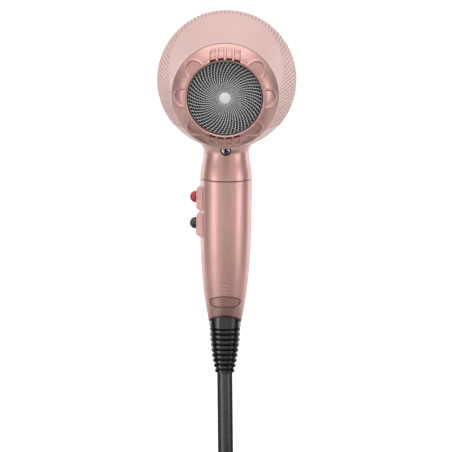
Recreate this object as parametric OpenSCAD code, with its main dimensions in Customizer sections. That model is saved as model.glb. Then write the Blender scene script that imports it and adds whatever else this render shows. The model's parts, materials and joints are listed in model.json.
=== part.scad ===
// Hand-held hair dryer with a round ribbed barrel, twist-off filter cap and straight grip.
// Millimetres. Z runs up the grip, Y runs forward to the outlet, the origin is the grip centre.

/* [Barrel] */
// Largest radius of the barrel skin
barrel_r = 43.9; // [38:0.1:52]
// Height of the barrel axis above the grip centre
barrel_h = 110; // [100:0.5:120]
// Upward tilt of the outlet in degrees
barrel_tilt = 6; // [0:0.5:12]
// Wall of the barrel skin
barrel_wall = 2.2; // [1.6:0.1:3]
// Rounding radius behind the widest ring
rear_round = 50; // [30:1:80]
// Radius of the skin at the cap seam
seam_r = 33.1; // [30:0.1:36]
// Rounding radius in front of the widest ring
front_round = 40; // [30:1:60]
// Distance from the widest ring back to the cap seam
rear_len = 45; // [40:0.5:55]
// Distance from the widest ring forward to the nose seam
front_len = 40; // [30:0.5:45]
// Chamfer on both edges of the cap seam and the grip seam
seam_cut = 0.35; // [0.1:0.05:0.6]

/* [Barrel ribs] */
// Number of rib pitches in a full turn
rib_count = 112; // [60:2:140]
// Ribs on each side of the top rib
rib_side = 40; // [20:1:44]
// Width of a rib
rib_w = 1.3; // [0.8:0.1:1.8]
// Height of a rib above the skin
rib_h = 0.35; // [0.2:0.05:0.8]

/* [Nose and outlet] */
// Length of the nose shell
nose_len = 32; // [24:0.5:40]
// Width of the front face round the collar
nose_lip = 3.4; // [2.5:0.1:5]
// Radius of the outlet collar that takes the attachments
collar_r = 22.6; // [20:0.1:26]
// Free length of the outlet collar
collar_len = 18; // [12:0.5:24]
// Wall of the outlet collar
collar_wall = 1.8; // [1.2:0.1:2.4]
// Depth of the outlet grille behind the collar edge
grille_depth = 10; // [6:0.5:14]

/* [Filter cap] */
// Depth of the filter cap behind the seam
cap_len = 8.4; // [6:0.1:12]
// Radius of the cap rim
rim_r = 25.8; // [23:0.1:28]
// Width of the bead round the filter screen
rim_wall = 2.4; // [1.6:0.1:3]
// Height of the bead above the cap
rim_rise = 1.4; // [0.6:0.1:2]
// Half width of a finger arch with its bead
arch_half = 6; // [4:0.1:7]
// Width of the bead round a finger arch
arch_bead = 1.1; // [0.8:0.1:1.6]
// Depth of the arches and channels
arch_depth = 1.2; // [0.8:0.1:1.8]
// Gap between the cap and the barrel
seam_gap = 0.45; // [0.2:0.05:0.8]
// Distance of the bayonet bore inside the seam
bayonet_in = 4.5; // [4:0.1:6]
// Running gap of the bayonet
bayonet_gap = 0.06; // [0.02:0.01:0.1]
// Spiral bars of the screen
screen_bars = 28; // [16:2:36]
// Rings of the screen
screen_rings = 8; // [5:1:9]

/* [Grip] */
// Largest width of the grip
grip_w = 33; // [29:0.1:37]
// Width of the neck at its waist
waist_w = 28.7; // [26:0.1:32]
// Width of the grip at its base
base_w = 21; // [19:0.1:24]
// Drop of the waist below the barrel
waist_drop = 2.1; // [0.5:0.1:4]
// Height of the grip seam above the grip centre
seam_z = 46.6; // [42:0.1:50]
// Depth of the grip base below the grip centre
base_z = 46.7; // [42:0.1:52]
// Wall of the grip shells
grip_wall = 2.2; // [1.6:0.1:3]

/* [Switches] */
// Distance of the upper switch pod below the grip seam
heat_drop = 12.8; // [10:0.1:16]
// Gap between the two switch pods
pod_gap = 1.4; // [0.8:0.1:3]
// Length of a pod at the grip surface
pod_len = 15.6; // [12:0.1:16.8]
// Length of the outer face of a pod
pod_face = 11.8; // [9:0.1:13]
// Rise of the pod face above the grip
pod_rise = 2.3; // [1:0.1:4]
// Radius of a slider dome
dome_r = 3.7; // [3:0.1:4.5]
// Height of a slider dome above its pod
dome_h = 4.3; // [3:0.1:5]
// Height of a slider above the middle of its pod
slider_rest = 0.7; // [-2:0.1:2]
// Full stroke of a slider
slider_stroke = 4.2; // [2:0.1:5]
// Gap round a slider stem
slider_gap = 0.3; // [0.2:0.05:0.5]

/* [Press flap] */
// Width of the oval press flap
flap_w = 19; // [14:0.1:22]
// Height of the flap
flap_h = 6.6; // [5:0.1:8]
// Height of the lower edge of the flap above the grip base
flap_rise = 11.9; // [10:0.1:15]
// Gap round the flap
flap_gap = 0.5; // [0.3:0.05:0.7]

/* [Cord] */
// Diameter of the cord
cord_d = 9.8; // [7:0.1:11]
// Length of the cord guard below the grip
guard_len = 33.6; // [24:0.1:44]
// Radius of the cord guard collar
guard_r = 10.2; // [9:0.1:12]
// Radius of the outermost turn of the stored coil
coil_out = 67; // [60:0.5:80]
// Turns of the stored coil
coil_turns = 5; // [3:1:6]
// Height of the coil centre
coil_z = -229; // [-240:1:-200]
// Sideways lean of the cord between the guard and the coil
cord_lean = 2.5; // [0:0.1:6]
// Length of the free cord end above the plug
tail_len = 46; // [30:1:80]

/* [Hidden] */
$fn = 96;
eps = 0.01;
peak_s = 0;
seam_s = peak_s - rear_len;
split_s = peak_s + front_len;
nose_s = split_s + nose_len;
collar_s = nose_s + collar_len;
rim_s = seam_s - cap_len;
screen_s = rim_s + 1.7;
screen_r = rim_r - rim_wall;
bayonet_r = seam_r - bayonet_in;
collar_bore = collar_r - collar_wall;
collar_seat = collar_r + 0.4;
nose_r = collar_seat + nose_lip;
arch_rise = 4.8;
arch_r = (pow(base_w / 2, 2) + pow(arch_rise, 2)) / (2 * arch_rise);
arch_top = -base_z + arch_rise;
floor_z = arch_top + 3.8;
waist_z = barrel_h - barrel_r - waist_drop;
shoulder_z = seam_z - 6.6;
heat_z = seam_z - heat_drop;
speed_z = heat_z - pod_len - pod_gap;
pod_x = grip_w / 2 + pod_rise;
pod_y = 7;
pod_back = grip_w / 2 - 3.9;
flap_low = -base_z + flap_rise;
flap_top = flap_low + flap_h;
shroud_r = 33;
shroud_back = 28;
shroud_front = 10;
fan_back = 26;
fan_len = 20;
hub_r = 10;
hub_back = 22;
hub_len = 14;
can_r = 16;
can_back = 4;
can_len = 34;
bell_len = 6;
shaft_r = 1.5;
shaft_back = 20;
shaft_len = 26;
cord_r = cord_d / 2;
clamp_x = cord_r + 2.5;
clamp_z = floor_z + 6.1;
guard_low = -base_z - guard_len;
coil_mid = coil_turns / 2;
coil_pitch = 1.09 * cord_d;
coil_step = 1.08 * cord_d;

// Slope of a line from radius r at distance run that touches the rounding of the widest ring
function touch_slope(round, run, r) =
    let (rise = r - barrel_r + round)
    atan2(run, rise) - acos(round / norm([run, rise]));
rear_slope = touch_slope(rear_round, rear_len, seam_r);
front_slope = touch_slope(front_round, front_len + nose_len, nose_r);

// Stations that break the skin into bands
arc_stops = concat(
    [for (i = [4:-1:1]) peak_s - rear_round * sin(rear_slope * i / 4)],
    [for (i = [0:3]) peak_s + front_round * sin(front_slope * i / 3)]);
function stops(s0, s1) = concat([s0], [for (s = arc_stops) if (s > s0 && s < s1) s], [s1]);

function rear_tan_s(g) = peak_s - (rear_round + g) * sin(rear_slope);
function rear_tan_r(g) = barrel_r - rear_round + (rear_round + g) * cos(rear_slope);
function front_tan_s(g) = peak_s + (front_round + g) * sin(front_slope);
function front_tan_r(g) = barrel_r - front_round + (front_round + g) * cos(front_slope);
// Radius of the skin, grown by g, at station s along the barrel axis
function skin_r(s, g) =
    s < rear_tan_s(g) ? rear_tan_r(g) - (rear_tan_s(g) - s) * tan(rear_slope) :
    s < peak_s ? barrel_r - rear_round + sqrt(pow(rear_round + g, 2) - pow(s - peak_s, 2)) :
    s < front_tan_s(g) ? barrel_r - front_round + sqrt(pow(front_round + g, 2) - pow(s - peak_s, 2)) :
    front_tan_r(g) - (s - front_tan_s(g)) * tan(front_slope);

// Half width of the grip and neck at height z
function blend(t) = (1 - cos(180 * min(1, max(0, t)))) / 2;
function grip_half(z) =
    z > waist_z ? waist_w / 2 + 7 - sqrt(49 - pow(min(6.5, z - waist_z), 2)) :
    z > seam_z ? grip_w / 2 - (grip_w - waist_w) / 2 * blend((z - seam_z - 1) / (waist_z - seam_z - 1)) :
    z > shoulder_z ? grip_w / 2 :
    grip_w / 2 - (grip_w - base_w) / 2 * pow((shoulder_z - z) / (shoulder_z + base_z), 3.2);
// Heights that break the neck and the grip into bands
neck_stops = [for (i = [0:12]) seam_z + (waist_z + 6 - seam_z) * i / 12];
grip_stops = concat([for (i = [0:18]) -base_z + (shoulder_z + base_z) * i / 18], [seam_z]);
function outline(zs, g) = concat([[0, zs[0]]], [for (z = zs) [grip_half(z) + g, z]], [[0, zs[len(zs) - 1]]]);
function above(zs, z0) = concat([z0], [for (z = zs) if (z > z0) z]);

// Radius of the cord guard ribs at share t of their length
function guard_taper(t) = guard_r - 0.2 - (guard_r - 6.1) * pow(t, 1.7);

// Place of a point on the barrel: x across, s along the axis, v up from the axis
function barrel_at(x, s, v) = [x, s * cos(barrel_tilt) - v * sin(barrel_tilt),
    barrel_h + s * sin(barrel_tilt) + v * cos(barrel_tilt)];

// Route of the stored coil: two layers that spiral in and out again
function coil_turn_r(t) = coil_out - coil_pitch * (coil_mid - sqrt(pow(t - coil_mid, 2) + 0.01));
function coil_at(t) = [cord_lean + coil_step * blend((t - coil_mid) / 0.5 + 0.5),
    coil_out + coil_turn_r(t) * cos(180 + 360 * t), coil_z + coil_turn_r(t) * sin(180 + 360 * t)];
coil_rings = 24 * coil_turns;
coil_path = concat(
    [coil_at(0) + [0, 0, cord_d]],
    [for (i = [0:coil_rings]) coil_at(i / 24)],
    [coil_at(coil_turns) - [0, 0, cord_d]]);
coil_in = coil_path[0];
coil_end = coil_path[len(coil_path) - 1];
guard_end = [0, 0, guard_low];
lean_top = guard_end - [0, 0, 5];
lean_low = coil_in + [0, 0, 20];
mains_path = concat([guard_end], [for (i = [0:3]) lean_top + (lean_low - lean_top) * i / 3], [coil_in]);
tail_path = [coil_end, coil_end - [0, 0, tail_len / 2], coil_end - [0, 0, tail_len]];
plug_top = tail_path[2];
function run(p, i = 0) = i + 1 < len(p) ? norm(p[i + 1] - p[i]) + run(p, i + 1) : 0;
coil_gap = min([for (i = [0:len(coil_path) - 1]) for (j = [i + 8:1:len(coil_path) - 1])
    norm(coil_path[i] - coil_path[j])]) - cord_d;
echo(coil_gap = coil_gap, cord_length = run(mains_path) + run(coil_path) + run(tail_path));

// Frame of the barrel: local z runs forward, local -y runs up
module on_barrel() {
    translate([0, 0, barrel_h]) rotate([barrel_tilt - 90, 0, 0]) children();
}

// Half section under the barrel skin, grown by g, between two stations
module barrel_area(g, s0, s1) {
    polygon(concat([[0, s0]], [for (s = stops(s0, s1)) [skin_r(s, g), s]], [[0, s1]]));
}

module barrel_solid(g, s0, s1) {
    on_barrel() rotate_extrude() barrel_area(g, s0, s1);
}

module grip_solid(zs, g) {
    rotate_extrude() polygon(outline(zs, g));
}

// Outer skins of the barrel, the neck and the grip, chamfered at their seams
module barrel_skin() {
    on_barrel() rotate_extrude() polygon(concat([[0, seam_s], [seam_r - seam_cut, seam_s]],
        [for (s = stops(seam_s + seam_cut, split_s)) [skin_r(s, 0), s]], [[0, split_s]]));
}

module neck_skin() {
    top = neck_stops[len(neck_stops) - 1];
    rotate_extrude() polygon(concat([[0, seam_z], [grip_w / 2 - seam_cut, seam_z]],
        [for (z = above(neck_stops, seam_z + seam_cut)) [grip_half(z), z]], [[0, top]]));
}

module grip_skin() {
    rotate_extrude() polygon(concat([[0, -base_z]],
        [for (z = grip_stops) if (z < seam_z) [grip_half(z), z]],
        [[grip_w / 2, seam_z - seam_cut], [grip_w / 2 - seam_cut, seam_z], [0, seam_z]]));
}

module half_space(side) {
    translate([-60, side < 0 ? -60 : 0, -100]) cube([120, 60, 220]);
}

// Closed tube along a list of points
function unit(v) = v / norm(v);
function tube_ring(p, i, r, n, side) =
    let (t = unit(p[min(i + 1, len(p) - 1)] - p[max(i - 1, 0)]))
    let (u = unit(cross(t, side)))
    let (w = cross(t, u))
    [for (k = [0:n - 1]) p[i] + r * (cos(360 * k / n) * u + sin(360 * k / n) * w)];
module tube(p, r, n, side = [1, 0, 0]) {
    pts = [for (i = [0:len(p) - 1]) each tube_ring(p, i, r, n, side)];
    sides = [for (i = [0:len(p) - 2]) for (k = [0:n - 1])
        [i * n + k, i * n + (k + 1) % n, (i + 1) * n + (k + 1) % n, (i + 1) * n + k]];
    caps = [[for (k = [n - 1:-1:0]) k], [for (k = [0:n - 1]) (len(p) - 1) * n + k]];
    polyhedron(pts, concat(sides, caps), convexity = 6);
}

// Station where the rib at angle a from the top starts
function rib_start(a) = max(seam_s + 1.2, peak_s - 6 - 42 * pow(1 - cos(min(90, abs(a))), 1.5));

module barrel_rib(a) {
    s0 = rib_start(a);
    rotate([0, 0, a - 90]) rotate([90, 0, 0]) linear_extrude(rib_w, center = true) polygon(concat(
        [[skin_r(s0, -0.1), s0]],
        [for (s = stops(s0 + 2.5, split_s - 6)) [skin_r(s, rib_h), s]],
        [[skin_r(split_s - 6, -1), split_s - 6], [skin_r(peak_s, -1.6), peak_s], [skin_r(s0, -1), s0]]));
}

module bayonet_notches() {
    for (i = [0:2]) rotate([0, 0, i * 120 + 48]) translate([bayonet_r - 3, -7.5, seam_s - 1])
        cube([5.4, 15, 8]);
}

screw_at = [0, 1.8 - waist_w / 2, waist_z + 2.4];
cup_r = 3.5;

module barrel_shell() {
    color("lightpink") union() {
        difference() {
            union() {
                barrel_skin();
                neck_skin();
            }
            difference() {
                barrel_solid(-barrel_wall, seam_s - 1, split_s + 1);
                on_barrel() difference() {
                    translate([0, 0, seam_s - 2]) cylinder(h = 8, r = barrel_r);
                    translate([0, 0, seam_s - 3]) cylinder(h = 10, r = bayonet_r);
                    bayonet_notches();
                }
            }
            translate([0, 0, -eps]) grip_solid(neck_stops, -grip_wall);
            translate([0, 0, waist_z + 5]) cylinder(h = 8, r = waist_w / 2 - grip_wall);
            translate(screw_at) rotate([90, 0, 0]) cylinder(h = 4, r = cup_r);
            translate(screw_at) rotate([-90, 0, 0]) cylinder(h = 6, r = 1.7);
        }
        on_barrel() for (i = [-rib_side:rib_side]) barrel_rib(i * 360 / rib_count);
    }
}

module nose_shell() {
    lip = nose_s - 3;
    inner_r = skin_r(split_s, -barrel_wall);
    spigot_r = skin_r(split_s - 5, -barrel_wall);
    color("lightpink") on_barrel() rotate_extrude() polygon([
        [skin_r(split_s, 0), split_s], [skin_r(nose_s, 0), nose_s], [collar_seat, nose_s], [collar_seat, lip],
        [skin_r(lip, -barrel_wall), lip], [inner_r - 1.6, split_s], [spigot_r - 1.6, split_s - 5],
        [spigot_r, split_s - 5], [inner_r, split_s]]);
}

module outlet_collar() {
    lip = nose_s - 3;
    flange_r = max(collar_seat + 0.8, skin_r(lip, -barrel_wall) - 0.1);
    color("dimgray") on_barrel() rotate_extrude() polygon([
        [collar_bore, lip - 12], [collar_seat, lip - 12], [collar_seat, lip - 3], [flange_r, lip - 3],
        [flange_r, lip], [collar_seat, lip], [collar_seat, nose_s], [collar_r, nose_s],
        [collar_r, collar_s], [collar_bore, collar_s]]);
}

module outlet_grille() {
    color("dimgray") on_barrel() translate([0, 0, collar_s - grille_depth]) linear_extrude(2) difference() {
        circle(collar_bore);
        for (i = [0:2]) difference() {
            circle(collar_bore - 1.4 - i * 5.6);
            circle(collar_bore - 5.6 - i * 5.6);
            for (k = [0:5]) rotate(k * 60) translate([0, -0.7]) square([30, 1.4]);
        }
    }
}

// Half section under the cap skin, grown by g
module cap_area(g) {
    mid_r = (seam_r + rim_r) / 2 + 0.5;
    edge_s = seam_s - seam_gap;
    top_s = rim_s + rim_rise;
    polygon([[0, edge_s], [seam_r + min(0, g), edge_s],
        [mid_r + g, (edge_s + top_s) / 2 - 0.3 - g / 2], [rim_r + g / 2, top_s - g], [0, top_s - g]]);
}

// Half section under the channels, which run out towards the seam
module channel_area() {
    polygon([[0, seam_s - seam_gap], [seam_r - 0.4, seam_s - seam_gap],
        [screen_r + 0.9, rim_s + rim_rise + arch_depth], [0, rim_s + rim_rise + arch_depth]]);
}

// Outline of a finger arch, open to the rim, with half width r
module arch_area(r) {
    far = seam_r - 1.4 - arch_half;
    translate([far, 0]) circle(r);
    translate([screen_r + 1.2, -r]) square([far - screen_r - 1.2, 2 * r]);
}

module cap_arches(r) {
    for (a = [-47, -90, -137, 47, 90, 137]) rotate([0, 0, a - 90])
        translate([0, 0, rim_s - 5]) linear_extrude(cap_len + 5 - 1) arch_area(r);
}

// Channels across the cap at the top and the bottom, from one radius to another
module cap_channels(inner, outer, low) {
    intersection() {
        for (m = [0:1]) rotate([0, 0, m * 180]) for (i = [0:3])
            translate([(i - 1.5) * 5 - 1.8, -outer, rim_s - 5]) cube([3.6, outer - inner, low + 5]);
        translate([0, 0, rim_s - 6]) cylinder(h = 40, r = outer);
    }
}

module rear_cap() {
    color("lightpink") on_barrel() difference() {
        union() {
            difference() {
                union() {
                    rotate_extrude() cap_area(0);
                    rotate_extrude() translate([rim_r - rim_wall / 2, rim_s + rim_wall / 2])
                        circle(rim_wall / 2);
                }
                difference() {
                    cap_arches(arch_half - arch_bead);
                    rotate_extrude() cap_area(-arch_depth);
                }
                difference() {
                    cap_channels(screen_r + 0.9, seam_r - 0.9, cap_len);
                    rotate_extrude() channel_area();
                }
            }
            intersection() {
                rotate_extrude() cap_area(1);
                difference() {
                    cap_arches(arch_half);
                    translate([0, 0, -1]) cap_arches(arch_half - arch_bead);
                    translate([0, 0, 1]) cap_arches(arch_half - arch_bead);
                }
            }
            translate([0, 0, seam_s - 1]) cylinder(h = 7.1, r = bayonet_r - bayonet_gap);
            for (i = [0:2]) rotate([0, 0, i * 120]) intersection() {
                translate([0, 0, seam_s + 6.1]) cylinder(h = 2, r = bayonet_r + 1.8);
                translate([bayonet_r - 6, -6.5, seam_s + 6.1]) cube([10, 13, 2]);
            }
            translate([0, 0, seam_s + 6.1 - eps]) cylinder(h = 2 + eps, r = bayonet_r - bayonet_gap);
        }
        translate([0, 0, rim_s - 2]) cylinder(h = 3.7 + 1.2, r = screen_r);
        translate([0, 0, rim_s]) cylinder(h = cap_len + 10, r = screen_r - 1.6);
        translate([0, 0, seam_s + 0.8]) cylinder(h = 30, r = bayonet_r - 2);
        cap_channels(screen_r + 1, screen_r + 2.3, cap_len - 1.6);
    }
}

module filter_screen() {
    color("silver") on_barrel() union() {
        translate([0, 0, screen_s]) linear_extrude(1.2) difference() {
            circle(screen_r);
            for (k = [0:screen_rings - 1]) for (i = [0:screen_bars - 1])
                screen_gap(k, i);
        }
        translate([0, 0, screen_s]) intersection() {
            translate([0, 0, 9]) sphere(10);
            translate([0, 0, -2]) cylinder(h = 2.5, r = 4);
        }
    }
}

// One gap of the screen, between two spiral bars and two rings
function screen_ring(k) = 5 + (screen_r - 1.2 - 5) * pow(k / screen_rings, 0.85);
function screen_turn(r) = 36 * pow(max(0, r - 5) / (screen_r - 5), 1.5);
module screen_gap(k, i) {
    a0 = i * 360 / screen_bars;
    r0 = screen_ring(k) + 0.25;
    r1 = screen_ring(k + 1) - 0.25;
    w = 360 / screen_bars;
    b0 = 0.45 / r0 * 57.3;
    b1 = 0.45 / r1 * 57.3;
    polygon([for (q = [[r0, b0], [r1, b1], [r1, w - b1], [r0, w - b0]])
        let (a = a0 + q[1] + screen_turn(q[0])) q[0] * [cos(a), sin(a)]]);
}

module fan_shroud() {
    s0 = arc_stops[4];
    s1 = arc_stops[5];
    color("dimgray") on_barrel() difference() {
        union() {
            rotate_extrude() polygon([
                [shroud_r - 1.5, -shroud_back], [shroud_r, -shroud_back], [shroud_r, s0],
                [skin_r(s1, -barrel_wall), s0], [skin_r(s1, -barrel_wall), s1], [shroud_r, s1],
                [shroud_r, shroud_front], [shroud_r - 1.5, shroud_front]]);
            difference() {
                cylinder(h = shroud_front, r = can_r + 1.6);
                translate([0, 0, -1]) cylinder(h = shroud_front + 2, r = can_r);
            }
            for (i = [0:6]) rotate([0, 0, 20 + i * 360 / 7]) translate([can_r + 1.2, -0.7, 3])
                cube([shroud_r - can_r - 2, 1.4, shroud_front - 4]);
        }
        translate([-5, shroud_r + 0.6, s0 - 1]) cube([10, 20, s1 - s0 + 2]);
    }
}

module fan_impeller() {
    color("gray") on_barrel() difference() {
        union() {
            translate([0, 0, -hub_back]) cylinder(h = hub_len, r = hub_r);
            intersection() {
                translate([0, 0, -fan_back]) cylinder(h = fan_len, r = shroud_r - 2);
                for (i = [0:8]) rotate([0, 0, i * 40]) translate([0, 0, hub_len / 2 - hub_back])
                    rotate([38, 0, 0]) translate([hub_r - 1, -0.6, -fan_len / 2 + 1])
                        cube([shroud_r, 1.2, fan_len - 2]);
            }
        }
        translate([0, 0, -shaft_back]) cylinder(h = 20, r = shaft_r);
    }
}

module motor_shaft() {
    color("silver") on_barrel() translate([0, 0, -shaft_back]) cylinder(h = shaft_len, r = shaft_r);
}

module motor_can() {
    color("silver") on_barrel() difference() {
        translate([0, 0, -can_back]) cylinder(h = can_len, r = can_r);
        translate([0, 0, -can_back - 1])
            cylinder(h = shaft_len - shaft_back + can_back + 1.2, r = shaft_r + 0.05);
    }
}

module motor_end_bell() {
    color("dimgray") on_barrel() translate([0, 0, can_len - can_back]) cylinder(h = bell_len, r = can_r - 2);
}

module heater_sleeve() {
    color("tan") on_barrel() translate([0, 0, split_s + 2]) difference() {
        cylinder(h = collar_s - grille_depth - 2 - split_s, r = collar_bore);
        translate([0, 0, -1]) cylinder(h = 80, r = collar_bore - 0.8);
    }
}

module heater_cross() {
    s0 = split_s + 4;
    s1 = collar_s - grille_depth - 1;
    w = collar_bore - 0.8;
    color("tan") on_barrel() for (a = [0, 90]) rotate([0, 0, a]) union() {
        translate([6.4 - collar_bore, -0.4, s0]) cube([2 * collar_bore - 12.8, 0.8, s1 - s0]);
        translate([-w, -0.4, s0]) cube([2 * w, 0.8, 4]);
        translate([-w, -0.4, s1 - 4]) cube([2 * w, 0.8, 4]);
    }
}

module heater_coil() {
    s0 = split_s + 10;
    s1 = collar_s - grille_depth - 8;
    r = collar_bore - 5.8;
    color("silver") on_barrel() tube([for (i = [0:120]) let (a = i * 30)
        [r * cos(a), r * sin(a), s0 + (s1 - s0) * i / 120]], 0.5, 5, [0, 0, 1]);
}

module thermostat() {
    color("black") on_barrel() translate([0.4, -9, split_s + 12]) rotate([0, 90, 0]) cylinder(h = 3, r = 4);
}

module thermal_fuse() {
    color("white") on_barrel() translate([0.4 + 1.5, 8, split_s + 9]) union() {
        cylinder(h = 9, r = 1.5);
        translate([-1.5, -1, 0]) cube([1.5, 2, 9]);
    }
}

module neck_sleeve() {
    low = heat_z + pod_len / 2 + 0.4;
    top = neck_stops[8];
    zs = concat([low], [for (i = [0:8]) neck_stops[i]]);
    color("dimgray") difference() {
        union() {
            grip_solid(zs, -grip_wall);
            translate([-4, screw_at[1] + 1.2, top - 6]) cube([8, 5, screw_at[2] + 3.4 - top + 6]);
        }
        difference() {
            translate([0, 0, -eps]) grip_solid(zs, -grip_wall - 2.4);
            translate([-4, screw_at[1] + 1.2, top - 6]) cube([8, 5, 30]);
        }
        translate([0, 0, top - 1]) cylinder(h = 2, r = grip_half(top) - grip_wall - 2.4 - 3);
        translate(screw_at) rotate([-90, 0, 0]) cylinder(h = 12, r = 1.3);
    }
}

module neck_screw() {
    color("silver") translate(screw_at) difference() {
        union() {
            rotate([90, 0, 0]) intersection() {
                cylinder(h = 1.6, r = 2.9);
                translate([0, 0, -3.6]) sphere(5.2);
            }
            rotate([-90, 0, 0]) cylinder(h = 7, r = 1.3);
        }
        for (a = [20, 110]) rotate([90, a, 0]) translate([-1.6, -0.35, 0.6]) cube([3.2, 0.7, 2]);
    }
}

module screw_cup() {
    color("black") translate(screw_at) rotate([90, 0, 0]) difference() {
        cylinder(h = 0.9, r = cup_r);
        translate([0, 0, -1]) cylinder(h = 3, r = 2.95);
    }
}

// Outline of the oval press flap seen from the rear, grown by g
module flap_area(g) {
    r = flap_h / 2;
    far = flap_w / 2 - r;
    intersection() {
        translate([0, flap_top - 18]) circle(18 + g);
        union() {
            for (x = [-far, far]) translate([x, flap_low + r]) circle(r + g);
            translate([-far, flap_low - g]) square([2 * far, flap_h + 2 * g]);
        }
    }
}

module flap_prism(g) {
    rotate([90, 0, 0]) linear_extrude(40) flap_area(g);
}

grip_screw_at = [for (q = [[9, 10.6], [9, 42.6], [10.5, 64.6]]) [grip_w / 2 - q[0], seam_z - q[1]]];

module arch_cutter(g) {
    translate([0, 0, arch_top - arch_r]) rotate([90, 0, 0]) cylinder(h = 60, r = arch_r + g, center = true);
}

module pod_window(z) {
    translate([-30, -pod_y, z - pod_len / 2]) cube([30 - pod_back, 2 * pod_y, pod_len]);
}

module grip_shell(side) {
    difference() {
        union() {
            difference() {
                grip_skin();
                grip_solid(above(grip_stops, floor_z), -grip_wall);
                translate([0, 0, seam_z - 0.5]) cylinder(h = 1, r = grip_w / 2 - grip_wall);
            }
            intersection() {
                grip_solid(grip_stops, -grip_wall / 2);
                for (q = grip_screw_at) translate([q[0], 0, q[1]]) rotate([90, 0, 0])
                    cylinder(h = 40, r = 3, center = true);
            }
        }
        half_space(-side);
        arch_cutter(0);
        cylinder(h = 200, r = 6.7, center = true);
        pod_window(heat_z);
        pod_window(speed_z);
    }
}

module grip_rear_shell() {
    color("rosybrown") difference() {
        union() {
            grip_shell(-1);
            intersection() {
                grip_solid(grip_stops, -grip_wall / 2);
                translate([-8, -30, flap_top + 1.7]) cube([16, 26, 2]);
            }
            intersection() {
                grip_solid(grip_stops, 0.2);
                for (q = [[2.2, 7.2], [1.6, 4.8], [2.4, 2.6]])
                    translate([-q[0], -30, flap_top + q[1]]) cube([2 * q[0], 30 - 8, 0.6]);
                difference() {
                    half_space(-1);
                    grip_solid(grip_stops, -0.5);
                }
            }
        }
        flap_prism(flap_gap);
        for (x = [-5.7, 5.7]) translate([x, 0, flap_low - 0.2]) rotate([90, 0, 0]) cylinder(h = 40, r = 0.7);
        for (q = grip_screw_at) translate([q[0], eps, q[1]]) rotate([90, 0, 0]) cylinder(h = 9, r = 1.25);
    }
}

module grip_front_shell() {
    color("rosybrown") difference() {
        union() {
            grip_shell(1);
            intersection() {
                grip_solid(above(grip_stops, floor_z), -grip_wall / 2);
                for (x = [-clamp_x, clamp_x]) translate([x, 4, clamp_z])
                    rotate([-90, 0, 0]) cylinder(h = 30, r = 1.9);
            }
        }
        for (q = grip_screw_at) translate([q[0], -eps, q[1]]) rotate([-90, 0, 0]) cylinder(h = 40, r = 1.6);
        for (q = grip_screw_at) translate([q[0], 8, q[1]]) rotate([-90, 0, 0]) cylinder(h = 40, r = 2.9);
        for (x = [-clamp_x, clamp_x]) translate([x, 3, clamp_z]) rotate([-90, 0, 0]) cylinder(h = 5, r = 1);
    }
}

module grip_screws() {
    color("silver") for (q = grip_screw_at) translate([q[0], 8, q[1]]) rotate([90, 0, 0]) union() {
        cylinder(h = 15, r = 1.25);
        translate([0, 0, -1.8]) cylinder(h = 1.8, r = 2.6);
    }
}

module switch_pod(z) {
    translate([0, 0, z]) difference() {
        intersection() {
            translate([0, pod_y, 0]) rotate([90, 0, 0]) linear_extrude(2 * pod_y) polygon([
                [-pod_back, -pod_len / 2], [-grip_w / 2 + 0.4, -pod_len / 2], [-pod_x, -pod_face / 2],
                [-pod_x, pod_face / 2], [-grip_w / 2 + 0.4, pod_len / 2], [-pod_back, pod_len / 2]]);
            translate([0, 0, -pod_len / 2]) linear_extrude(pod_len) polygon([
                [-pod_back, -pod_y], [-grip_w / 2 + 2.2, -pod_y], [-pod_x, -pod_y + 1.6],
                [-pod_x, pod_y - 1.6], [-grip_w / 2 + 2.2, pod_y], [-pod_back, pod_y]]);
        }
        translate([-pod_x + 1.2, -5, -pod_face / 2]) cube([pod_x, 10, pod_face]);
        translate([-pod_x - 1, -2.4 - slider_gap, -1.4 - slider_stroke / 2 - slider_gap])
            cube([4, 4.8 + 2 * slider_gap, 2.8 + slider_stroke + 2 * slider_gap]);
    }
}

module heat_pod() {
    color("rosybrown") switch_pod(heat_z);
}

module speed_pod() {
    color("rosybrown") switch_pod(speed_z);
}

module slider(z) {
    ball = (dome_r * dome_r + dome_h * dome_h) / (2 * dome_h);
    translate([-pod_x, 0, z + slider_rest]) union() {
        translate([-0.05, 0, 0]) rotate([0, -90, 0]) intersection() {
            translate([0, 0, dome_h - ball]) sphere(ball);
            cylinder(h = dome_h + 1, r = dome_r + 1);
        }
        translate([-0.5, -2.4, -1.4]) cube([2.5, 4.8, 2.8]);
        translate([1.3, -4, -3.5]) cube([1.2, 8, 7]);
        translate([2, -1.1, -1.1]) cube([pod_x - pod_back + 0.8, 2.2, 2.2]);
    }
}

module heat_slider() {
    color("red") slider(heat_z);
}

module speed_slider() {
    color("black") slider(speed_z);
}

module slide_switch(z) {
    translate([0, 0, z]) difference() {
        translate([-pod_back, -5.6, -7]) cube([8, 11.2, 14]);
        translate([-pod_back - 1, -1.4, -1.4 - slider_stroke / 2]) cube([5, 2.8, 2.8 + slider_stroke]);
    }
}

module heat_switch() {
    color("white") slide_switch(heat_z);
}

module speed_switch() {
    color("white") slide_switch(speed_z);
}

// Hinge line of the flap
hinge_at = [0, 1.4 - grip_half(flap_low), flap_low + 0.8];

module press_flap() {
    color("rosybrown") union() {
        intersection() {
            difference() {
                grip_solid(grip_stops, 0);
                grip_solid(grip_stops, -1.8);
            }
            flap_prism(0);
        }
        translate(hinge_at) rotate([0, 90, 0]) cylinder(h = 6.8, r = 0.8, center = true);
        intersection() {
            translate([0, 0, flap_top - 2.6]) rotate([90, 0, 0]) cylinder(h = 20, r = 1.6);
            difference() {
                grip_solid(grip_stops, -0.5);
                translate([-5, 2.3 - grip_half(flap_low + flap_h / 2), -60]) cube([10, 40, 60]);
            }
        }
    }
}

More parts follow.
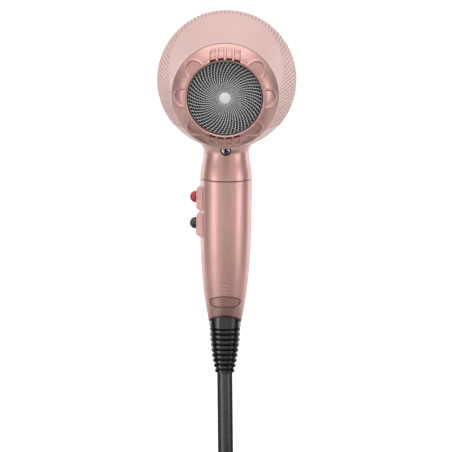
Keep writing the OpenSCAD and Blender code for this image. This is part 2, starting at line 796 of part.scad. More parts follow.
module flap_switch() {
    color("black") translate([-4, 3.6 - grip_half(flap_low + flap_h / 2), flap_low + 0.4])
        cube([8, 4.2, flap_top + 1.7 - flap_low - 0.4]);
}

module cord_clamp() {
    top = floor_z + 3;
    color("dimgray") difference() {
        intersection() {
            union() {
                translate([0, 0, top]) cylinder(h = 6, r = cord_r + 0.9);
                translate([-clamp_x - 1.6, 1, top]) cube([2 * clamp_x + 3.2, 3, 6]);
            }
            translate([-20, -3, -60]) cube([40, 30, 60]);
        }
        translate([0, 0, top - 1]) cylinder(h = 8, r = cord_r);
        for (x = [-clamp_x, clamp_x]) translate([x, 0, clamp_z]) rotate([-90, 0, 0]) cylinder(h = 8, r = 1);
    }
}

module clamp_screws() {
    color("silver") for (x = [-clamp_x, clamp_x]) translate([x, 1, clamp_z]) rotate([-90, 0, 0]) union() {
        cylinder(h = 6, r = 1);
        translate([0, 0, -1.2]) cylinder(h = 1.2, r = 1.4);
    }
}

module lead_wires() {
    near = skin_r(11, -barrel_wall) - 3;
    far = skin_r(18, -barrel_wall) - 4;
    color("black") for (m = [-1, 1]) tube([
        [m * 2.4, 0, floor_z + 5], [m * 2.4, 0, floor_z + 20], [m * 2.4, 0, waist_z - 10],
        [m * 2.4, 0.6, waist_z - 2], [m * 2.4, 3, waist_z + 4], barrel_at(m * 2.4, 11, -near),
        barrel_at(m * 3, 18, -far), barrel_at(m * 4, split_s - 14, 5.2 - far),
        barrel_at(m * 5, split_s - 7, 11.2 - far), barrel_at(m * 5.6, split_s - 2, -16),
        barrel_at(m * 6, split_s - 0.6, -9), barrel_at(m * 6, split_s + 0.2, -4),
        barrel_at(m * 6, split_s + 1.6, -1), barrel_at(m * 6, split_s + 4, 0)], 1.1, 8);
}

module cord_guard() {
    ribs = 9;
    low = -base_z - 3.1;
    step = (low - guard_low) / ribs;
    color("black") difference() {
        union() {
            translate([0, 0, floor_z]) cylinder(h = 3, r = 9);
            translate([0, 0, low]) cylinder(h = floor_z - low + 1, r = 6.7);
            intersection() {
                translate([0, 0, low]) cylinder(h = 20, r = guard_r);
                arch_cutter(-0.3);
            }
            rotate_extrude() polygon(concat([[0, low + 1]], [[7, low + 1]], [for (i = [0:ribs - 1]) each
                let (z = low - i * step)
                let (r = guard_taper((i + 0.5) / ribs))
                let (g = max(r - 1.3, cord_r + 0.6))
                [[g, z - step * 0.02], [g, z - step * 0.3], [r, z - step * 0.42], [r, z - step * 0.88],
                    [g, z - step]]],
                [[0, guard_low]]));
        }
        translate([0, 0, guard_low - 1]) cylinder(h = 60, r = cord_r);
    }
}

module cord_inner_end() {
    color("black") translate([0, 0, guard_low]) cylinder(h = floor_z + 5 - guard_low, r = cord_r);
}

module mains_cord() {
    color("black") tube(mains_path, cord_r, 12);
}

module cord_coil() {
    color("black") tube(coil_path, cord_r, 6);
}

module cord_tie() {
    inner = coil_turn_r(2.25) - cord_r - 0.9;
    outer = coil_turn_r(0.25) + cord_r + 0.5;
    color("gray") translate([cord_lean - cord_r - 0.4, coil_out - 6, coil_z - outer]) difference() {
        translate([-1.2, 0, -1.2]) cube([coil_step + cord_d + 0.8 + 2.4, 12, outer - inner + 2.4]);
        translate([0, -1, 0]) cube([coil_step + cord_d + 0.8, 14, outer - inner]);
    }
}

module cord_tail() {
    color("black") tube(tail_path, cord_r, 12);
}

module plug_body() {
    color("black") translate(plug_top) union() {
        translate([0, 0, -12]) cylinder(h = 12, r1 = 8.5, r2 = 6);
        translate([0, 0, -34]) linear_extrude(22.5) union() {
            for (x = [-1, 1]) for (y = [-1, 1]) translate([x * 4.5, y * 8]) circle(4);
            square([9, 24], center = true);
            square([17, 16], center = true);
        }
    }
}

module plug_blades() {
    color("silver") for (y = [-6.35, 6.35]) translate(plug_top + [-3.15, y - 0.75, -34 - 17])
        cube([6.3, 1.5, 17]);
}

barrel_shell();
nose_shell();
outlet_collar();
outlet_grille();
rear_cap();
filter_screen();
fan_shroud();
fan_impeller();
motor_shaft();
motor_can();
motor_end_bell();
heater_sleeve();
heater_cross();
heater_coil();
thermostat();
thermal_fuse();
neck_sleeve();
neck_screw();
screw_cup();
grip_rear_shell();
grip_front_shell();
grip_screws();
heat_pod();
speed_pod();
heat_slider();
speed_slider();
heat_switch();
speed_switch();
press_flap();
flap_switch();
cord_clamp();
clamp_screws();
lead_wires();
cord_guard();
cord_inner_end();
mains_cord();
cord_coil();
cord_tie();
cord_tail();
plug_body();
plug_blades();
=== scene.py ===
import json
import math

import bmesh
import bpy
import numpy as np
from mathutils import Matrix, Vector

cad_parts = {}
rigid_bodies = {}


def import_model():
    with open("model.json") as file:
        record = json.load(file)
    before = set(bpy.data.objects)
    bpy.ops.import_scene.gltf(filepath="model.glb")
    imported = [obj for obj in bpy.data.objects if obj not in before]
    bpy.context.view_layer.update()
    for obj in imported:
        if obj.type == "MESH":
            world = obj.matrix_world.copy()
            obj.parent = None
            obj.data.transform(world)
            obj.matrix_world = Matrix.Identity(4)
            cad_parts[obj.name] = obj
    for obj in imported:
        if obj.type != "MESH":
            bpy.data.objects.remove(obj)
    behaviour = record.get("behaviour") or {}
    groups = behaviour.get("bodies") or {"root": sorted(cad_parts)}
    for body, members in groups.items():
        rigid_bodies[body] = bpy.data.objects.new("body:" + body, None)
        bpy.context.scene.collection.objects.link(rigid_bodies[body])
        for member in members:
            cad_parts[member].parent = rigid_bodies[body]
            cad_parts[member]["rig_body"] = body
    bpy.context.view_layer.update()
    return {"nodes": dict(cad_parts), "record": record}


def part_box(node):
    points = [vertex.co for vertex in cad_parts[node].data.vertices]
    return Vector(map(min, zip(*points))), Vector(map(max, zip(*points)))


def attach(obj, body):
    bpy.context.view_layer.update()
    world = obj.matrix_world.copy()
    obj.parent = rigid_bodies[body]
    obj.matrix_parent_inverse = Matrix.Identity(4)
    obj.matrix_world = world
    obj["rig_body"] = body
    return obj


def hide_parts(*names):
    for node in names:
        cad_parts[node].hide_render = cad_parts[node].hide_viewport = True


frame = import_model()
nodes = frame["nodes"]
scene = bpy.context.scene
print("frame:", len(nodes), "nodes")


def unit(v):  # vectors of length one, along the last axis
    return v / np.linalg.norm(v, axis=-1, keepdims=True)


def fullTurn(steps):  # angles once round, without the last one
    return np.linspace(0, 2 * np.pi, steps, endpoint=False)


def gridFaces(rows, cols, closeRows=False, closeCols=False):  # quads between neighbouring grid points
    r = np.arange(rows if closeRows else rows - 1)[:, None]
    c = np.arange(cols if closeCols else cols - 1)[None, :]
    nextR, nextC = (r + 1) % rows, (c + 1) % cols
    quads = np.stack([r * cols + c, r * cols + nextC, nextR * cols + nextC, nextR * cols + c], -1)
    return quads.reshape(-1, 4)


def joinGrids(parts):  # several (points, faces) pairs as one
    start = np.cumsum([0] + [len(p) for p, f in parts])
    points = np.concatenate([p for p, f in parts])
    faces = np.concatenate([f + start[i] for i, (p, f) in enumerate(parts)])
    return points, faces


def makeMesh(name, points, faces):  # arrays of points and quads to a mesh
    mesh = bpy.data.meshes.new(name)
    points = np.asarray(points, np.float32).reshape(-1, 3)
    mesh.vertices.add(len(points))
    mesh.vertices.foreach_set("co", points.ravel())
    mesh.loops.add(faces.size)
    mesh.loops.foreach_set("vertex_index", faces.ravel().astype(np.int32))
    mesh.polygons.add(len(faces))
    mesh.polygons.foreach_set("loop_start", np.arange(0, faces.size, faces.shape[1], dtype=np.int32))
    mesh.update(calc_edges=True)
    mesh.validate()
    mesh.shade_smooth()
    return mesh


merge = {"grid": 1e-7, "sliver": 1e-8, "solid": 2e-6}  # how close points are to become one, in metres


def closedMesh(name, points, faces, sharp=None):  # poles merged, faces outwards, edges past sharp hard
    mesh = makeMesh(name, points, faces)
    bm = bmesh.new()
    bm.from_mesh(mesh)
    bmesh.ops.remove_doubles(bm, verts=bm.verts, dist=merge["grid"])
    bmesh.ops.dissolve_degenerate(bm, edges=bm.edges, dist=merge["sliver"])
    bmesh.ops.recalc_face_normals(bm, faces=bm.faces)
    bm.to_mesh(mesh)
    bm.free()
    mesh.shade_smooth()
    if sharp:
        mesh.set_sharp_from_angle(angle=math.radians(sharp))
    return mesh


def addPiece(name, mesh, body, finish, replaced=()):  # puts a mesh into the scene on its body
    obj = bpy.data.objects.new(name, mesh)
    scene.collection.objects.link(obj)
    mesh.materials.clear()
    mesh.materials.append(finish)
    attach(obj, body)
    if replaced:
        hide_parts(*replaced)
    return obj


cameraView = {
    "target": (0.00016, 0.0, 0.0155),  # point in the middle of the picture
    "distance": 1.8,
    "elevation": 10.0,
    "azimuth": 1.2,
    "roll": 0.4,
    "picture": 452,  # pixels across
    "pixel": 0.000641,  # metres at the target for one pixel
    "sensor": 36,
}


def addCamera(v):  # looks at the target from behind and a little above
    e, a, r = (math.radians(v[k]) for k in ("elevation", "azimuth", "roll"))
    forward = np.array((-math.sin(a) * math.cos(e), math.cos(a) * math.cos(e), -math.sin(e)))
    level = np.array((math.cos(a), math.sin(a), 0.0))
    upright = np.cross(level, forward)
    right = level * math.cos(r) + upright * math.sin(r)
    up = upright * math.cos(r) - level * math.sin(r)
    data = bpy.data.cameras.new("camera")
    data.sensor_width = v["sensor"]
    data.lens = v["sensor"] * v["distance"] / (v["picture"] * v["pixel"])
    cam = bpy.data.objects.new("camera", data)
    scene.collection.objects.link(cam)
    cam.location = np.array(v["target"]) - forward * v["distance"]
    cam.rotation_mode = "QUATERNION"
    cam.rotation_quaternion = Matrix(np.stack([right, up, -forward], 1).tolist()).to_quaternion()
    scene.camera = cam


addCamera(cameraView)

barrelFrame = {"height": 0.110, "tilt": 6.0, "seam": -0.045}  # of its axis, nose up, and where the cap joins
guardEnd = -0.0803  # height at which the cord leaves its guard
tiltCos, tiltSin = (f(math.radians(barrelFrame["tilt"])) for f in (math.cos, math.sin))


def onBarrel(x, up, s):  # a point across, up and along the barrel, turned by its tilt
    x, up, s = np.broadcast_arrays(x, up, s)
    return np.stack([x, s * tiltCos - up * tiltSin, barrelFrame["height"] + s * tiltSin + up * tiltCos], -1)


class Wire:  # a shader socket that works in a formula
    def __init__(self, graph, socket):
        self.graph, self.socket = graph, socket

    def __add__(self, other):
        return self.graph.calc("ADD", self, other)

    def __sub__(self, other):
        return self.graph.calc("SUBTRACT", self, other)

    def __rsub__(self, other):
        return self.graph.calc("SUBTRACT", other, self)

    def __mul__(self, other):
        return self.graph.calc("MULTIPLY", self, other)

    __radd__ = __add__
    __rmul__ = __mul__


def rgba(colour):  # a colour with its alpha, wires left as they are
    return colour if isinstance(colour, Wire) else (*colour, 1.0)


class Graph:  # the node tree of one material or of the world
    def __init__(self, owner, outputKind="ShaderNodeOutputMaterial"):
        owner.use_nodes = True
        self.owner, self.tree = owner, owner.node_tree
        self.tree.nodes.clear()
        self.out = self.tree.nodes.new(outputKind)

    def add(self, kind, settings=None, inputs=None, output=0):  # any node, as the wire of one output
        node = self.tree.nodes.new(kind)
        for key, value in (settings or {}).items():
            setattr(node, key, value)
        for key, value in (inputs or {}).items():
            if isinstance(value, Wire):
                self.tree.links.new(value.socket, node.inputs[key])
            else:
                node.inputs[key].default_value = value
        return Wire(self, node.outputs[output])

    def calc(self, operation, *values):  # any Math node
        return self.add("ShaderNodeMath", {"operation": operation}, dict(enumerate(values)))

    def place(self, scale=(1, 1, 1)):  # object coordinates
        where = self.add("ShaderNodeTexCoord", output="Object")
        return self.add("ShaderNodeMapping", None, {"Vector": where, "Scale": scale})

    def axes(self):  # object coordinates as three numbers
        first = self.add("ShaderNodeSeparateXYZ", None, {"Vector": self.place()})
        return [Wire(self, socket) for socket in first.socket.node.outputs]

    def length(self, a, b):  # of the side opposite a right angle
        return self.calc("POWER", a * a + b * b, 0.5)

    def noise(self, scale, detail=2.0, rough=0.5, at=None):  # grain from 0 to 1
        inputs = {"Vector": at or self.place(), "Scale": scale, "Detail": detail, "Roughness": rough}
        return self.add("ShaderNodeTexNoise", None, inputs, "Fac")

    def spread(self, value, low, high, outLow=0.0, outHigh=1.0):  # a value moved from one range to another
        inputs = dict(enumerate((value, low, high, outLow, outHigh)))
        return self.add("ShaderNodeMapRange", {"clamp": True}, inputs)

    def vary(self, noise, low, high, span=0.2):  # the middle part of a noise over a range
        return self.spread(noise, 0.5 - span, 0.5 + span, low, high)

    def within(self, value, half, fade):  # one up to half on both sides of zero, then fading out
        return self.spread(self.calc("ABSOLUTE", value), half, half + fade, 1.0, 0.0)

    def mix(self, factor, a, b):  # two colours
        return self.add("ShaderNodeMix", {"data_type": "RGBA"}, {0: factor, 6: rgba(a), 7: rgba(b)}, 2)

    def bump(self, height, strength, distance):
        inputs = {"Height": height, "Strength": strength, "Distance": distance}
        return self.add("ShaderNodeBump", None, inputs)

    def close(self, shader):  # the last wire, into the output
        self.tree.links.new(shader.socket, self.out.inputs["Surface"])
        return self.owner

    def surface(self, **sockets):  # the principled surface; names as on the node
        inputs = {key.replace("_", " "): value for key, value in sockets.items()}
        inputs["Base Color"] = rgba(inputs["Base Color"])
        return self.close(self.add("ShaderNodeBsdfPrincipled", None, inputs))


def newFinish(name):  # an empty material
    return Graph(bpy.data.materials.new(name))


# pearl lacquer: a warm base with metal flakes under a clear coat
shellPaint = {"colour": (0.63, 0.345, 0.311), "deep": (0.595, 0.317, 0.283), "light": (0.79, 0.55, 0.51),
              "rough": 0.36, "metal": 0.46, "coat": 0.6, "sparkle": 0.18}
trimPaint = {**shellPaint, "colour": (0.53, 0.285, 0.255), "deep": (0.5, 0.265, 0.235),
             "light": (0.7, 0.47, 0.43)}  # cap and switch pods: a darker copy of the pearl, painted shade
# the flap: a darker copy of the pearl, painted shade as it faces a little down
flapPaint = {**shellPaint, "colour": (0.47, 0.245, 0.205), "deep": (0.41, 0.21, 0.175),
             "light": (0.66, 0.43, 0.38)}
litSatinPaint = {"colour": (0.69, 0.458, 0.428), "deep": (0.66, 0.428, 0.398), "light": (0.78, 0.6, 0.57),
              "rough": 0.5, "metal": 0.15, "coat": 0.3, "sparkle": 0.1}  # the barrel above its neck: a more matte finish, and a colour lighter than the pearl that is painted light from above
lacquer = {
    "flakes": 5200,  # scale of the flakes
    "flakeSwing": 0.1,  # how much a flake changes the metal
    "clouds": 28,
    "cloudSpan": 0.15,  # half of the noise's range that makes a full change of tone
    "smears": 220,
    "smearSwing": 0.04,  # how much a smear changes the roughness
    "peel": (7000, 0.06, 0.00002),  # scale, strength and depth of the fine surface waves
    "coatRough": 0.3,
    "shine": 0.3,
}


def pearlTone(f, p, look):  # base tone in soft clouds, flakes lighter
    base = f.mix(look["clouds"], p["colour"], p["deep"])
    return f.mix(look["flakes"] * p["sparkle"], base, p["light"])


def makePearl(name, p, dress=None):  # dress adds what only one shell shows
    f = newFinish(name)
    cell = f.add("ShaderNodeTexVoronoi", None, {"Vector": f.place(), "Scale": lacquer["flakes"]}, "Color")
    look = {key: p[key] for key in ("rough", "metal", "coat")}
    look["flakes"] = f.add("ShaderNodeSeparateColor", None, {"Color": cell})
    look["clouds"] = f.vary(f.noise(lacquer["clouds"], 3), 0.0, 1.0, lacquer["cloudSpan"])
    look["colour"] = pearlTone(f, p, look)
    if dress:
        dress(f, look)
    smear, flake = lacquer["smearSwing"], lacquer["flakeSwing"]
    scale, strength, depth = lacquer["peel"]
    return f.surface(Base_Color=look["colour"], Coat_Weight=look["coat"], Coat_Roughness=lacquer["coatRough"],
                     Roughness=f.vary(f.noise(lacquer["smears"], 3), -smear, smear) + look["rough"],
                     Metallic=f.spread(look["flakes"], 0.0, 1.0, -flake, flake) + look["metal"],
                     Specular_IOR_Level=lacquer["shine"], Normal=f.bump(f.noise(scale, 1), strength, depth))


# colour of the painted shade in rib grooves, seam gaps and on the face below the flap
paintedShadeTone = (0.12, 0.06, 0.05)

# painted shade on the barrel: in the grooves between the upper ribs and in the seams at cap and grip
barrelMarks = {
    "satinEdge": (0.0664, 0.0672),  # heights between which the pearl of the neck turns to satin
    "ribs": 112,  # in a full turn
    "ribStart": (-0.006, -0.042, 1.5),  # station at the top, how far back it runs below, and with which power
    "groove": (0.24, 0.34),  # shares of a rib's pitch between which a groove begins
    "grooveFade": 0.003,
    "grooveShade": 0.4,
    "upperPart": (0.3, 0.7),  # cosines from the top between which the painted shade in the grooves comes in
    "capShadowLine": 0.0008,  # width of the painted shadow line in the seam at the cap
    "gripSeam": 0.0466,  # height of the joint with the grip
    # width of the painted shadow line in the seam at the grip
    "gripLine": 0.0007,
}


def dressBarrel(f, look):  # satin above the neck, painted shade in the grooves between upper ribs, painted shadow lines in the seams
    m = barrelMarks
    x, y, z = f.axes()
    height = z - barrelFrame["height"]
    station, rise = y * tiltCos + height * tiltSin, height * tiltCos - y * tiltSin
    above = f.spread(z, *m["satinEdge"])
    colour = f.mix(above, look["colour"], pearlTone(f, litSatinPaint, look))
    angle = f.calc("ARCTAN2", x, rise)
    top = f.calc("COSINE", angle)
    first, reach, power = m["ribStart"]
    along = station - (f.calc("POWER", 1 - top, power) * reach + first)
    phase = f.calc("FRACT", angle * (m["ribs"] / 2 / math.pi) + 0.5) - 0.5
    groove = f.spread(f.calc("ABSOLUTE", phase), *m["groove"])
    groove = groove * f.spread(along, 0.0, m["grooveFade"]) * f.spread(top, *m["upperPart"])
    # painted shade in the grooves between the upper ribs
    colour = f.mix(groove * m["grooveShade"], colour, paintedShadeTone)
    # painted shadow lines in the seams at the cap and at the grip
    joints = (station, barrelFrame["seam"], m["capShadowLine"]), (z, m["gripSeam"], m["gripLine"])
    for value, start, width in joints:
        colour = f.mix(f.spread(value, start + width / 2, start + width), paintedShadeTone, colour)
    for key in ("rough", "metal", "coat"):
        look[key] = above * (litSatinPaint[key] - look[key]) + look[key]
    look["colour"] = colour


# painted shade and highlights on the rear of the grip
gripMarks = {
    "rear": (-0.008, -0.007),  # the marks lie behind this
    "arch": (-0.05578, 0.01388),  # height of the middle and radius of the cut above the guard
    "archLine": (0.0009, 0.0019),  # from painted shade to clear, away from the cut
    "archShadeTone": (0.055, 0.024, 0.02),
    "face": (-0.0355, -0.0352),  # heights between which the painted shade on the face below the flap begins
    "faceHalf": 0.0055,  # half width before it fades
    "faceFade": 0.004,
    "faceShade": 0.5,
    "bars": ((0.0022, -0.0207), (0.0016, -0.0231), (0.0024, -0.0253)),  # half widths and heights of the raised bars with a painted highlight
    "barHalf": 0.0003,
    "barFade": 0.0001,
    "barHighlight": 0.8,
}


def dressGrip(f, look):  # painted shade along the arched foot, painted shade on the face below the flap, painted highlight on the raised bars
    m = gripMarks
    x, y, z = f.axes()
    rear = f.spread(y, *m["rear"], 1.0, 0.0)
    middle, radius = m["arch"]
    away = f.length(x, z - middle) - radius
    # painted shade along the arched foot, where the grip meets the guard
    colour = f.mix(f.spread(away, *m["archLine"]), m["archShadeTone"], look["colour"])
    # painted shade on the face below the flap
    face = f.spread(z, *m["face"], m["faceShade"], 0.0) * f.within(x, m["faceHalf"], m["faceFade"])
    colour = f.mix(face * rear, colour, paintedShadeTone)
    # painted highlight on the three raised bars
    for half, height in m["bars"]:
        bar = f.within(x, half, m["barFade"]) * f.within(z - height, m["barHalf"], m["barFade"])
        colour = f.mix(bar * rear * m["barHighlight"], colour, shellPaint["light"])
    look["colour"] = colour


plasticGrain = {"clouds": 90, "cloudSpan": 0.15, "smears": 300, "smearSwing": 0.06, "depth": 0.00003,
                "coatRough": 0.12}


# moulded plastic or rubber with a fine grain; coat is a number or a function of the graph
def makePlastic(name, colour, other, rough, grain=6000, strength=0.1, coat=0.0, shine=0.5):
    f, p = newFinish(name), plasticGrain
    mixed = f.mix(f.vary(f.noise(p["clouds"], 4), 0.0, 1.0, p["cloudSpan"]), colour, other)
    roughness = f.vary(f.noise(p["smears"], 3), rough - p["smearSwing"], rough + p["smearSwing"])
    weight = coat(f) if callable(coat) else coat
    return f.surface(Base_Color=mixed, Roughness=roughness, Coat_Weight=weight, Coat_Roughness=p["coatRough"],
                     Specular_IOR_Level=shine, Normal=f.bump(f.noise(grain, 2), strength, p["depth"]))


guardRibs = {
    "top": -0.0498,  # height of the first rib
    "radius": 0.0100,
    "taper": 0.0041,  # how much narrower the last rib is
    "power": 1.7,  # how late the taper sets in
    "groove": (0.0004, 0.0011),  # depths below the crests between which the gloss ends
}


def crestGloss(f):  # gloss on the crests of the ribs, none down in the grooves
    x, y, z = f.axes()
    share = f.spread(z, guardEnd, guardRibs["top"], 1.0, 0.0)
    crest = guardRibs["radius"] - f.calc("POWER", share, guardRibs["power"]) * guardRibs["taper"]
    return f.spread(crest - f.length(x, y), *guardRibs["groove"], 1.0, 0.0)


metalGrain = {"brush": 900, "shade": 0.8, "swing": 0.08, "strength": 0.1, "depth": 0.00002}
# painted shade of the cross recess in the screw head
screwCross = {
    "middle": np.mean(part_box("neck_screw"), axis=0).tolist(),
    "turn": 20.0,
    "half": 0.0004,  # half width of an arm
    "reach": 0.0016,  # half length of an arm
    "fade": 0.0002,
    "tone": (0.01, 0.01, 0.01),
}


def crossShade(f, c):  # painted shade, one inside the two arms of the cross recess in a screw head
    x, z = (axis - middle for axis, middle in zip(f.axes()[::2], c["middle"][::2]))
    turnCos, turnSin = (g(math.radians(c["turn"])) for g in (math.cos, math.sin))
    u, v = x * turnCos - z * turnSin, x * turnSin + z * turnCos
    pairs = (u, v), (v, u)
    arms = [f.within(a, c["half"], c["fade"]) * f.within(b, c["reach"], c["fade"]) for a, b in pairs]
    return f.calc("MAXIMUM", *arms)


def makeMetal(name, colour, rough, stretch=(1, 1, 1), cross=None):  # metal with fine brushing
    f = newFinish(name)
    brushed = f.noise(metalGrain["brush"], 4, 0.6, f.place(stretch))
    tone = f.mix(f.vary(brushed, 0.0, 1.0), colour, tuple(c * metalGrain["shade"] for c in colour))
    if cross:
        # the painted shade of the cross recess
        tone = f.mix(crossShade(f, cross), tone, cross["tone"])
    roughness = f.vary(brushed, rough - metalGrain["swing"], rough + metalGrain["swing"])
    return f.surface(Base_Color=tone, Metallic=1.0, Roughness=roughness,
                     Normal=f.bump(brushed, metalGrain["strength"], metalGrain["depth"]))


weave = {"pitch": 0.0012, "across": 0.6, "along": 0.4, "shade": 0.5, "rough": 0.85, "strength": 0.5,
         "depth": 0.0003}


def makeWeave(name, colour):  # woven strap, threads crossing each other
    f = newFinish(name)
    scale = 1 / weave["pitch"] / 20  # a wave texture counts in twentieths
    bands = [f.add("ShaderNodeTexWave", {"wave_type": "BANDS", "bands_direction": way},
                   {"Vector": f.place(), "Scale": scale}, "Fac") for way in "YX"]
    thread = bands[0] * weave["across"] + bands[1] * weave["along"]
    tone = f.mix(thread, tuple(c * weave["shade"] for c in colour), colour)
    return f.surface(Base_Color=tone, Roughness=weave["rough"],
                     Normal=f.bump(thread, weave["strength"], weave["depth"]))


shellFinish = makePearl("rosePearl", shellPaint)
gripFinish = makePearl("gripPearl", shellPaint, dressGrip)
barrelFinish = makePearl("barrelSatin", shellPaint, dressBarrel)
flapFinish = makePearl("flapPearl", flapPaint)
trimFinish = makePearl("trimPearl", trimPaint)
blackFinish = makePlastic("blackPlastic", (0.022, 0.022, 0.024), (0.03, 0.03, 0.032), rough=0.5)
redFinish = makePlastic("redGloss", (0.60, 0.028, 0.034), (0.54, 0.024, 0.03), rough=0.3,
                        grain=9000, strength=0.03, coat=0.3)
knobFinish = makePlastic("blackGloss", (0.026, 0.022, 0.024), (0.031, 0.027, 0.029), rough=0.33,
                         grain=9000, strength=0.03, coat=0.2)
whiteFinish = makePlastic("whitePlastic", (0.78, 0.77, 0.73), (0.72, 0.71, 0.67), rough=0.5)
micaFinish = makePlastic("micaBoard", (0.60, 0.53, 0.42), (0.52, 0.45, 0.34), rough=0.6,
                         grain=2500, strength=0.2)
guardFinish = makePlastic("guardRubber", (0.010, 0.010, 0.012), (0.013, 0.013, 0.015), rough=0.3,
                          grain=5000, strength=0.01, coat=crestGloss, shine=0.1)
cordFinish = makePlastic("cordRubber", (0.028, 0.028, 0.030), (0.033, 0.033, 0.035), rough=0.28,
                         grain=4000, strength=0.0005, shine=0.9)
screenFinish = makePlastic("screenSilver", (0.90, 0.90, 0.91), (0.82, 0.82, 0.83), rough=0.3,
                           grain=7000, strength=0.03, coat=0.4)
ringFinish = makePlastic("screenShade", (0.36, 0.36, 0.37), (0.28, 0.28, 0.29), rough=0.4,
                         grain=7000, strength=0.03)
foamFinish = makePlastic("darkFoam", (0.012, 0.013, 0.014), (0.02, 0.021, 0.022), rough=0.9,
                         grain=1800, strength=0.6)
steelFinish = makeMetal("brightSteel", (0.66, 0.67, 0.68), rough=0.28)
screwFinish = makeMetal("dullSteel", (0.56, 0.56, 0.57), rough=0.36, cross=screwCross)
canFinish = makeMetal("platedCan", (0.5, 0.5, 0.5), rough=0.4, stretch=(1, 0.1, 1))
brassFinish = makeMetal("plainBrass", (0.76, 0.64, 0.38), rough=0.3, stretch=(1, 1, 0.1))
tieFinish = makeWeave("strapWeave", (0.05, 0.05, 0.055))
print("finishes:", len(bpy.data.materials))

slotFinish = {
    "pink_shell": shellFinish, "rose_shell": shellFinish, "black_plastic": blackFinish,
    "red_plastic": redFinish, "white_plastic": whiteFinish, "steel": steelFinish, "motor_steel": canFinish,
    "brass_blades": brassFinish, "mica": micaFinish, "cord_rubber": cordFinish, "tie_fabric": tieFinish,
}
ownFinish = {
    "speed_slider": knobFinish, "cord_guard": guardFinish, "press_flap": flapFinish,
    "neck_screw": screwFinish, "barrel_shell": barrelFinish, "nose_shell": barrelFinish,
    "grip_rear_shell": gripFinish, "grip_front_shell": gripFinish,
    "heat_pod": trimFinish, "speed_pod": trimFinish,
}
for part in frame["record"]["subparts"]:
    materials = nodes[part["node"]].data.materials
    materials.clear()
    materials.append(ownFinish.get(part["node"], slotFinish[part["material_slot"]]))


# cord: straight down from the guard, wound into a coil of two layers, and out to the plug
cordSpec = {
    "diameter": 0.0098,
    "coilOut": 0.067,  # radius of the outermost turn
    "coilZ": -0.229,  # height of the coil's middle
    "lean": 0.0025,  # sideways, from the guard to the coil
    "turns": 5,
    "pitch": 0.010682,  # from turn to turn across the coil
    "step": 0.010584,  # from layer to layer
    "climb": 0.5,  # turns that the step takes
    "ease": 0.1,  # turns over which the coil stops narrowing and widens again
    "tail": 0.046,  # free end above the plug
    "leadPoints": 24,
    "tailPoints": 10,
    "perTurn": 72,
    "sides": 24,
    "sharp": 60,
}


def cordRoute(c):  # a line down, a spiral that narrows in one layer and widens in the next, a line down
    middle = c["turns"] / 2
    t = np.linspace(0, c["turns"], c["turns"] * c["perTurn"] + 1)
    radius = c["coilOut"] - c["pitch"] * (middle - np.hypot(t - middle, c["ease"]))
    angle = np.pi + 2 * np.pi * t
    climb = (1 - np.cos(np.pi * np.clip((t - middle) / c["climb"] + 0.5, 0, 1))) / 2
    coil = np.stack([c["lean"] + c["step"] * climb, c["coilOut"] + radius * np.cos(angle),
                     c["coilZ"] + radius * np.sin(angle)], 1)
    start = np.array([0, 0, guardEnd])
    lead = start + (coil[0] - start) * np.linspace(0, 1, c["leadPoints"], endpoint=False)[:, None]
    drop = np.array([0, 0, c["diameter"] + c["tail"]])
    tail = coil[-1] - drop * np.linspace(0, 1, c["tailPoints"] + 1)[1:, None]
    return np.concatenate([lead, coil, tail])


def sweep(path, radius, sides):  # circles square to a path that never runs along x, ends closed
    tangent = unit(np.gradient(path, axis=0))
    side = unit(np.array([1.0, 0, 0]) - tangent * tangent[:, :1])
    other = np.cross(tangent, side)
    a = fullTurn(sides)[:, None]
    ring = np.cos(a) * side[:, None] + np.sin(a) * other[:, None]
    points = path[:, None] + radius * ring
    ends = [np.broadcast_to(path[i], (1, sides, 3)) for i in (0, -1)]
    closed = np.concatenate([ends[0], points, ends[1]])
    return closed.reshape(-1, 3), gridFaces(len(path) + 2, sides, closeCols=True)


route = cordRoute(cordSpec)
cordTube = sweep(route, cordSpec["diameter"] / 2, cordSpec["sides"])
cordMesh = closedMesh("mainsLead", *cordTube, cordSpec["sharp"])
cordPiece = addPiece("mainsLead", cordMesh, "body", cordFinish,
                     ("mains_cord", "cord_coil", "cord_tail"))

strap = {
    "thickness": 0.0012,
    "width": 0.012,
    "corner": 2 / 7,  # power that squares the loop
    "edge": 0.35,  # power that squares the section
    "steps": 96,
    "sides": 20,
}


def squash(v, power):  # a power that keeps the sign
    return np.sign(v) * np.abs(v) ** power


def strapLoop(s):  # a flat section carried round a squared circle that fills the tie's box
    low, high = (np.array(v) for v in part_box("cord_tie"))
    centre, half = (low + high) / 2, (high - low) / 2
    a, b = fullTurn(s["steps"])[:, None], fullTurn(s["sides"])
    across = squash(np.cos(b), s["edge"]) * s["width"] / 2
    depth = (np.sin(b) - 1) * s["thickness"] / 2
    x = centre[0] + squash(np.cos(a), s["corner"]) * (half[0] + depth)
    z = centre[2] + squash(np.sin(a), s["corner"]) * (half[2] + depth)
    y = np.broadcast_to(centre[1] + across, x.shape)
    return np.stack([x, y, z], -1).reshape(-1, 3), gridFaces(s["steps"], s["sides"], True, True)


strapMesh = closedMesh("cordStrap", *strapLoop(strap))
strapPiece = addPiece("cordStrap", strapMesh, "body", tieFinish, ("cord_tie",))


